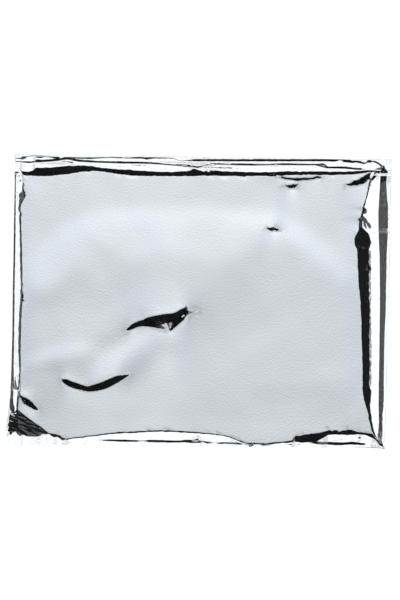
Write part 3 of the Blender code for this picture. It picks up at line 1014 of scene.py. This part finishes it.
def inside_outline(outline, x, y):
    """Whether these places are inside an outline."""
    inside = np.zeros(np.broadcast(x, y).shape, bool)
    for (from_x, from_y), (to_x, to_y) in zip(outline, outline[1:] + outline[:1]):
        if from_y != to_y:
            passes = (from_y > y) != (to_y > y)
            inside ^= passes & (x < from_x + (y - from_y) * (to_x - from_x) / (to_y - from_y))
    return inside


def lean_slopes(leans, x, y):
    """The slopes that these leans ask for, over a grid."""
    slopes = np.zeros((len(x), len(y)))
    for lean in leans:
        low, high = np.min(lean.outline, axis=0), np.max(lean.outline, axis=0)
        block = (
            slice(*np.searchsorted(x, (low[0], high[0]))),
            slice(*np.searchsorted(y, (low[1], high[1]))),
        )
        inside = inside_outline(lean.outline, x[block[0], None], y[block[1]])
        slopes[block] -= math.tan(math.radians(lean.degrees)) * inside
    return slopes


def leaning_film(leans, reach, crosswise):
    """The film's heights on a grid over the packet, where it leans as nearly as it can in this way."""
    x, y = (np.arange(-half, half, RELIEF_GRID) for half in RELIEF_HALF)
    in_x = np.fft.fftfreq(len(x), RELIEF_GRID)[:, None] * 2 * np.pi
    in_y = np.fft.rfftfreq(len(y), RELIEF_GRID) * 2 * np.pi
    spectrum = 0
    for blur, sideways in sorted({(lean.blur, lean.sideways) for lean in leans}):
        alike = [lean for lean in leans if (lean.blur, lean.sideways) == (blur, sideways)]
        along, across = (in_x, in_y) if sideways else (in_y, in_x)
        softening = np.exp(-(blur**2) * (in_x**2 + in_y**2) / 2)
        resistance = along**2 + crosswise * across**2 + reach**-2
        slopes = np.fft.rfft2(lean_slopes(alike, x, y))
        spectrum = spectrum - 1j * along * softening / resistance * slopes
    return np.fft.irfft2(spectrum, s=(len(x), len(y)))


def read_grid(grid, x, y):
    """The grid's heights at these places, with straight lines between its points."""
    last_x, last_y = (size - GRID_END for size in grid.shape)
    at_x = np.clip((x + RELIEF_HALF[0]) / RELIEF_GRID, 0, last_x)
    at_y = np.clip((y + RELIEF_HALF[1]) / RELIEF_GRID, 0, last_y)
    low_x, low_y = at_x.astype(int), at_y.astype(int)
    share_x, share_y = at_x - low_x, at_y - low_y
    return (
        grid[low_x, low_y] * (1 - share_x) * (1 - share_y)
        + grid[low_x + 1, low_y] * share_x * (1 - share_y)
        + grid[low_x, low_y + 1] * (1 - share_x) * share_y
        + grid[low_x + 1, low_y + 1] * share_x * share_y
    )


def unevenness(x, y):
    """The film's own slight waviness."""
    along, across = WAVY_RUN[0] * x + WAVY_RUN[1] * y, WAVY_RUN[0] * y - WAVY_RUN[1] * x
    return waves(along, *WAVY_ALONG) + waves(across, *WAVY_ACROSS)


def press(points):
    """Presses and creases the flat-folded sheet. points is changed: a row for each point, in millimetres."""
    x, y, z = points.T
    height = z / STACK
    on_top = smooth_step((z - (STACK - PLY_PITCH)) / PLY_PITCH)
    inside = inside_face(x, y)
    creases = read_grid(leaning_film(SOFT_LEANS + TUCKS, FACE_REACH, FACE_CROSSWISE), x, y)
    relief = np.maximum(creases + unevenness(x, y), -SINK - HOLLOW * inside)
    sides = sides_fall(x, y) - read_grid(leaning_film(SIDE_TUCKS, SIDE_REACH, SIDE_CROSSWISE), x, y)
    sway = waves(x + SWAY_SKEW[0] * y, *SWAY_ALONG) + waves(y + SWAY_SKEW[1] * x, *SWAY_ACROSS)
    depth = (STACK - z) % PANEL_PITCH
    under = smooth_step(depth / PLY_PITCH) * smooth_step((PANEL_PITCH - depth) / PLY_PITCH)
    under *= smooth_step(sides / UNDER_SINK_FROM)
    z = z - height * (sides + HOLLOW * inside * (1 - on_top) + UNDER_SINK * under)
    z = z + sway * np.sin(np.pi * height) + relief * on_top
    points[:, 2] = z + LIFT_OFF_GROUND


# ================================================================ the sheet's mesh


def edge_ends(sheet):
    """The two ends of each edge, in millimetres: an array of edges, ends and the three axes."""
    mesh = sheet.data
    points = np.empty(len(mesh.vertices) * 3)
    mesh.vertices.foreach_get("co", points)
    ends = np.empty(len(mesh.edges) * 2, int)
    mesh.edges.foreach_get("vertices", ends)
    return points.reshape(-1, 3)[ends.reshape(-1, 2)] / MM


def divide(sheet, panel, choose, longest, cuts):
    """Divides the edges of the topmost ply of a panel that choose picks, given their ends' places.

    Only edges over the given length are divided."""
    bpy.ops.object.mode_set(mode="OBJECT")
    ends = edge_ends(sheet)
    level = STACK - PANEL_PITCH * (TOP - panel)
    chosen = (np.abs(ends[:, :, 2] - level) < PLY_PITCH / 4).all(axis=1)
    chosen &= np.linalg.norm(ends[:, 1] - ends[:, 0], axis=1) > longest
    chosen[chosen] = choose(ends[chosen, 0, :2].T, ends[chosen, 1, :2].T)
    mesh = sheet.data
    mesh.vertices.foreach_set("select", np.zeros(len(mesh.vertices), bool))
    mesh.polygons.foreach_set("select", np.zeros(len(mesh.polygons), bool))
    mesh.edges.foreach_set("select", chosen)
    bpy.context.tool_settings.mesh_select_mode = (False, True, False)
    bpy.ops.object.mode_set(mode="EDIT")
    bpy.ops.mesh.subdivide(number_cuts=cuts, ngon=False)
    bpy.ops.object.mode_set(mode="OBJECT")


def anywhere(start, end):
    return start[0] < np.inf


def near_tuck(start, end):
    """Whether these edges cross a sharp tuck or lie close to one."""
    x, y = (start + end) / 2
    near = np.zeros(len(x), bool)
    for tuck in TUCKS + SIDE_TUCKS:
        low, high = np.min(tuck.outline, axis=0) - TUCK_MARGIN, np.max(tuck.outline, axis=0) + TUCK_MARGIN
        near |= (x > low[0]) & (x < high[0]) & (y > low[1]) & (y < high[1])
    return near


def crushed(start, end):
    return crush_distance(*(start + end) / 2) > -TUCK_MARGIN


def on_rim(start, end):
    """Whether these edges are outside the face."""
    return inside_face(*(start + end) / 2) <= 0


def falling(start, end):
    """Whether these edges run down one of the packet's sides."""
    return np.abs(sides_fall(*start) - sides_fall(*end)) > LEAST_FALL


def bending(start, end):
    """Whether a side turns from one slope to the next along these edges."""
    return np.abs(sides_fall(*start) + sides_fall(*end) - 2 * sides_fall(*(start + end) / 2)) > LEAST_BEND


def beyond_top(start, end):
    """Whether these edges are outside the top panel, or nearly."""
    x, y = (start + end) / 2
    past = np.maximum.reduce(
        [
            end_line(TOP, y) - x,
            x - end_line(TOP + 1, y),
            rim_line(FRONT_RIM, "edge", x) - y,
            y - rim_line(BACK_RIM, "edge", x),
        ]
    )
    return past > -CLOSEST


def falling_beyond_top(start, end):
    return beyond_top(start, end) & falling(start, end)


def bending_beyond_top(start, end):
    return beyond_top(start, end) & bending(start, end)


# Where the edges of the mesh are divided, in turn: in which panel, which ones, those over which length, and
# by how many cuts.
FINER = (
    (TOP, anywhere, 2.0, 2),
    (TOP, on_rim, 0.6, 2),
    (TOP, falling, 0.3, 1),
    (TOP, bending, 0.15, 1),
    (TOP - 1, beyond_top, 1.5, 2),
    (TOP - 1, beyond_top, 0.6, 1),
    (TOP - 1, falling_beyond_top, 0.3, 1),
    (TOP - 1, bending_beyond_top, 0.15, 1),
    (TOP, near_tuck, 0.5, 3),
    (TOP, near_tuck, 0.25, 1),
    (TOP, crushed, 0.3, 1),
)


def add_sheet():
    """A grid, with its points moved to where the sheet's are when it is folded flat."""
    folded = fold_flat()
    columns, rows = folded.shape[:2]
    bpy.ops.object.select_all(action="DESELECT")
    bpy.ops.mesh.primitive_grid_add(
        x_subdivisions=columns - 1, y_subdivisions=rows - 1, size=1, calc_uvs=False
    )
    sheet = bpy.context.object
    sheet.name = sheet.data.name = SHEET_NAME
    place = np.empty(len(sheet.data.vertices) * 3)
    sheet.data.vertices.foreach_get("co", place)
    place = place.reshape(-1, 3) + 0.5
    column = np.rint(place[:, 0] * (columns - 1)).astype(int)
    row = np.rint(place[:, 1] * (rows - 1)).astype(int)
    sheet.data.vertices.foreach_set("co", (folded[column, row] * MM).ravel())
    return sheet, folded


def shape_sheet(sheet):
    points = np.empty(len(sheet.data.vertices) * 3)
    sheet.data.vertices.foreach_get("co", points)
    points = points.reshape(-1, 3) / MM
    press(points)
    sheet.data.vertices.foreach_set("co", (points * MM).ravel())
    sheet.data.update()
    bpy.ops.object.shade_smooth()


# ================================================================ materials

GRAIN_LENGTH, GRAIN_HEIGHT = 0.45, 0.075  # of the film's finest unevenness
GRAIN_STRENGTH = 0.25
PAPER_COLOUR = "f2f2f2"
PAPER_GLOW = 0.75  # how much light the backdrop gives off


def linear(hex_colour):
    """An sRGB colour as hex digits, turned into linear values with an alpha."""
    values = [int(hex_colour[at : at + 2], 16) / 255 for at in (0, 2, 4)]
    return [v / 12.92 if v <= 0.04045 else ((v + 0.055) / 1.055) ** 2.4 for v in values] + [1.0]


def node(tree, kind, inputs=(), **settings):
    """Adds a node. inputs maps sockets, by name or number, to values or to other nodes' outputs."""
    made = tree.nodes.new(kind)
    for name, value in settings.items():
        setattr(made, name, value)
    for socket, value in dict(inputs).items():
        if isinstance(value, bpy.types.NodeSocket):
            tree.links.new(value, made.inputs[socket])
        else:
            made.inputs[socket].default_value = value
    return made


def empty_tree(owner):
    owner.use_nodes = True
    owner.node_tree.nodes.clear()
    return owner.node_tree


def metallised_film(settings):
    """Aluminium laid on thin polyester film in a vacuum: a slightly blurred, faintly blue mirror."""
    material = bpy.data.materials.new("vacuum_metallised_polyester")
    tree = empty_tree(material)
    at = node(tree, "ShaderNodeTexCoord").outputs["Object"]
    scale = 1 / (GRAIN_LENGTH * MM)
    grain = node(tree, "ShaderNodeTexNoise", {"Vector": at, "Scale": scale, "Detail": 1.0})
    bump = node(
        tree,
        "ShaderNodeBump",
        {"Height": grain.outputs["Fac"], "Strength": GRAIN_STRENGTH, "Distance": GRAIN_HEIGHT * MM},
    )
    shader = node(
        tree,
        "ShaderNodeBsdfPrincipled",
        {
            "Base Color": (*settings.film_colour, 1.0),
            "Metallic": 1.0,
            "Roughness": settings.film_roughness,
            "Normal": bump.outputs["Normal"],
        },
    )
    node(tree, "ShaderNodeOutputMaterial", {"Surface": shader.outputs[0]})
    return material


def backdrop_paper():
    """White background paper, lit evenly from all round and from below: it shows no shadow."""
    material = bpy.data.materials.new("white_background_paper")
    tree = empty_tree(material)
    shader = node(
        tree,
        "ShaderNodeBsdfPrincipled",
        {
            "Base Color": linear(PAPER_COLOUR),
            "Roughness": 0.9,
            "Emission Color": linear("ffffff"),
            "Emission Strength": PAPER_GLOW,
        },
    )
    node(tree, "ShaderNodeOutputMaterial", {"Surface": shader.outputs[0]})
    return material


# ================================================================ stage


# How bright the surroundings are: degrees from straight up, the level there in line with the packet's
# sides, and the level between those.
SKY = (
    (0, 0.97, 0.97),
    (15.5, 0.97, 0.97),
    (18.5, 0.05, 0.05),
    (20.5, 0.001, 0.001),
    (24.5, 0.001, 0.001),
    (28, 0.015, 0.015),
    (31, 0.015, 0.015),
    (35, 0.01, 0.01),
    (38, 0.12, 0.12),
    (45, 0.12, 0.12),
    (46.5, 0.4, 0.4),
    (51, 0.4, 0.4),
    (53.5, 1.5, 1.3),
    (66, 1.5, 1.3),
    (72, 0.95, 0.95),
    (85, 0.95, 0.95),
    (180, 1.0, 1.0),
)
SKY_SCALE = 2.0
SKY_SLANT = 2.8  # how much brighter the overhead light is towards the back
OVERHEAD_FROM, OVERHEAD_TO = math.radians(8), math.radians(13)  # where its slant and its blue fade out
# Where the levels between the packet's sides take over, given by x times y over the square of the
# direction's level part, which is 0 in line with a side and a half midway between two.
BETWEEN_FROM, BETWEEN_TO = 0.3, 0.45
BLUE_ASIDE = 5.0  # how fast that light turns blue towards the left and right


def sky_ramp(tree, share, levels):
    """A colour ramp from straight up, at 0, to straight down, at 1, through these levels."""
    ramp = node(tree, "ShaderNodeValToRGB", {0: share})
    stops = ramp.color_ramp.elements
    for row, level in zip(SKY, levels):
        stop = stops.new(row[0] / 180)
        stop.color = (level / SKY_SCALE,) * 3 + (1,)
    stops.remove(stops[-1])
    stops.remove(stops[0])
    return ramp.outputs[0]


def maths(tree, operation, *values):
    return node(tree, "ShaderNodeMath", dict(enumerate(values)), operation=operation).outputs[0]


def light_world():
    """A soft overhead light, dark surroundings beside it and bright walls further down."""
    world = bpy.data.worlds.new("soft_studio")
    bpy.context.scene.world = world
    tree = empty_tree(world)
    way = node(tree, "ShaderNodeTexCoord").outputs["Generated"]
    parts = node(tree, "ShaderNodeSeparateXYZ", {0: way}).outputs
    down = maths(tree, "ARCCOSINE", parts["Z"])
    share = maths(tree, "DIVIDE", down, math.pi)
    level_flat = maths(tree, "SUBTRACT", 1.0, maths(tree, "POWER", parts["Z"], 2.0))
    crossing = maths(tree, "DIVIDE", maths(tree, "MULTIPLY", parts["X"], parts["Y"]), level_flat)
    between = node(
        tree,
        "ShaderNodeMapRange",
        {0: maths(tree, "ABSOLUTE", crossing), 1: BETWEEN_FROM, 2: BETWEEN_TO, 3: 0.0, 4: 1.0},
    ).outputs[0]
    ramp = node(
        tree,
        "ShaderNodeMix",
        {
            0: between,
            2: sky_ramp(tree, share, [row[1] for row in SKY]),
            3: sky_ramp(tree, share, [row[2] for row in SKY]),
        },
    ).outputs[0]
    overhead = node(
        tree,
        "ShaderNodeMapRange",
        {0: down, 1: OVERHEAD_FROM, 2: OVERHEAD_TO, 3: 1.0, 4: 0.0},
    ).outputs[0]
    slant = maths(tree, "MULTIPLY", maths(tree, "MULTIPLY", parts["Y"], SKY_SLANT), overhead)
    aside = maths(tree, "MULTIPLY", maths(tree, "ABSOLUTE", parts["X"]), BLUE_ASIDE)
    tint = node(
        tree,
        "ShaderNodeMix",
        {
            0: maths(tree, "MULTIPLY", aside, overhead),
            6: linear("e7e7e7"),
            7: linear("cfd4dd"),
        },
        data_type="RGBA",
    ).outputs[2]
    level = maths(tree, "MULTIPLY_ADD", ramp, SKY_SCALE, slant)
    light = node(tree, "ShaderNodeBackground", {"Color": tint, "Strength": level})
    node(tree, "ShaderNodeOutputWorld", {"Surface": light.outputs[0]})


FLOOR_SIZE = 6.0  # in metres
SENSOR = 36.0
AIM_HEIGHT = 0.014  # how high the camera looks, in metres
CLIP_START, CLIP_END = 0.01, 20  # in metres


def add_floor():
    bpy.ops.object.select_all(action="DESELECT")
    bpy.ops.mesh.primitive_plane_add(size=FLOOR_SIZE)
    floor = bpy.context.object
    floor.name = floor.data.name = "floor"
    floor.data.materials.append(backdrop_paper())


def add_camera(settings):
    """A camera straight above, slightly turned."""
    distance = settings.lens * settings.view_height / SENSOR
    bpy.ops.object.camera_add(
        location=(VIEW_CENTRE[0] * MM, VIEW_CENTRE[1] * MM, AIM_HEIGHT + distance),
        rotation=(0, 0, VIEW_TURN),
    )
    camera = bpy.context.object
    camera.data.lens = settings.lens
    camera.data.sensor_width = SENSOR
    camera.data.clip_start = CLIP_START
    camera.data.clip_end = CLIP_END
    bpy.context.scene.camera = camera


# ================================================================ operators


class OBJECT_OT_fold_foil_sheet(bpy.types.Operator):
    """Folds, presses and creases the foil sheet"""

    bl_idname = "object.fold_foil_sheet"
    bl_label = "Fold Foil Sheet"

    def execute(self, context):
        sheet, folded = add_sheet()
        for panel, choose, longest, cuts in FINER:
            divide(sheet, panel, choose, longest, cuts)
        shape_sheet(sheet)
        sheet.data.materials.append(metallised_film(context.scene.foil_sheet))
        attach(sheet, "root")
        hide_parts(NODE)
        return {"FINISHED"}


class OBJECT_OT_set_foil_stage(bpy.types.Operator):
    """Adds the pale floor, the soft light and the camera"""

    bl_idname = "object.set_foil_stage"
    bl_label = "Set Foil Stage"

    def execute(self, context):
        light_world()
        add_floor()
        add_camera(context.scene.foil_stage)
        context.scene.view_settings.view_transform = "Standard"
        return {"FINISHED"}


class VIEW3D_PT_foil_blanket(bpy.types.Panel):
    """The foil blanket's operators and settings"""

    bl_label = "Foil Blanket"
    bl_space_type = "VIEW_3D"
    bl_region_type = "UI"
    bl_category = "Foil Blanket"

    def draw(self, context):
        for group, operator in (
            (context.scene.foil_sheet, OBJECT_OT_fold_foil_sheet),
            (context.scene.foil_stage, OBJECT_OT_set_foil_stage),
        ):
            for name in group.__annotations__:
                self.layout.prop(group, name)
            self.layout.operator(operator.bl_idname)


CLASSES = (
    FoilSheetSettings,
    FoilStageSettings,
    OBJECT_OT_fold_foil_sheet,
    OBJECT_OT_set_foil_stage,
    VIEW3D_PT_foil_blanket,
)


def register():
    for shown in CLASSES:
        bpy.utils.register_class(shown)
    bpy.types.Scene.foil_sheet = bpy.props.PointerProperty(type=FoilSheetSettings)
    bpy.types.Scene.foil_stage = bpy.props.PointerProperty(type=FoilStageSettings)


def unregister():
    del bpy.types.Scene.foil_stage
    del bpy.types.Scene.foil_sheet
    for shown in reversed(CLASSES):
        bpy.utils.unregister_class(shown)


def main():
    register()
    bpy.ops.object.fold_foil_sheet()
    bpy.ops.object.set_foil_stage()


if __name__ == "__main__":
    main()
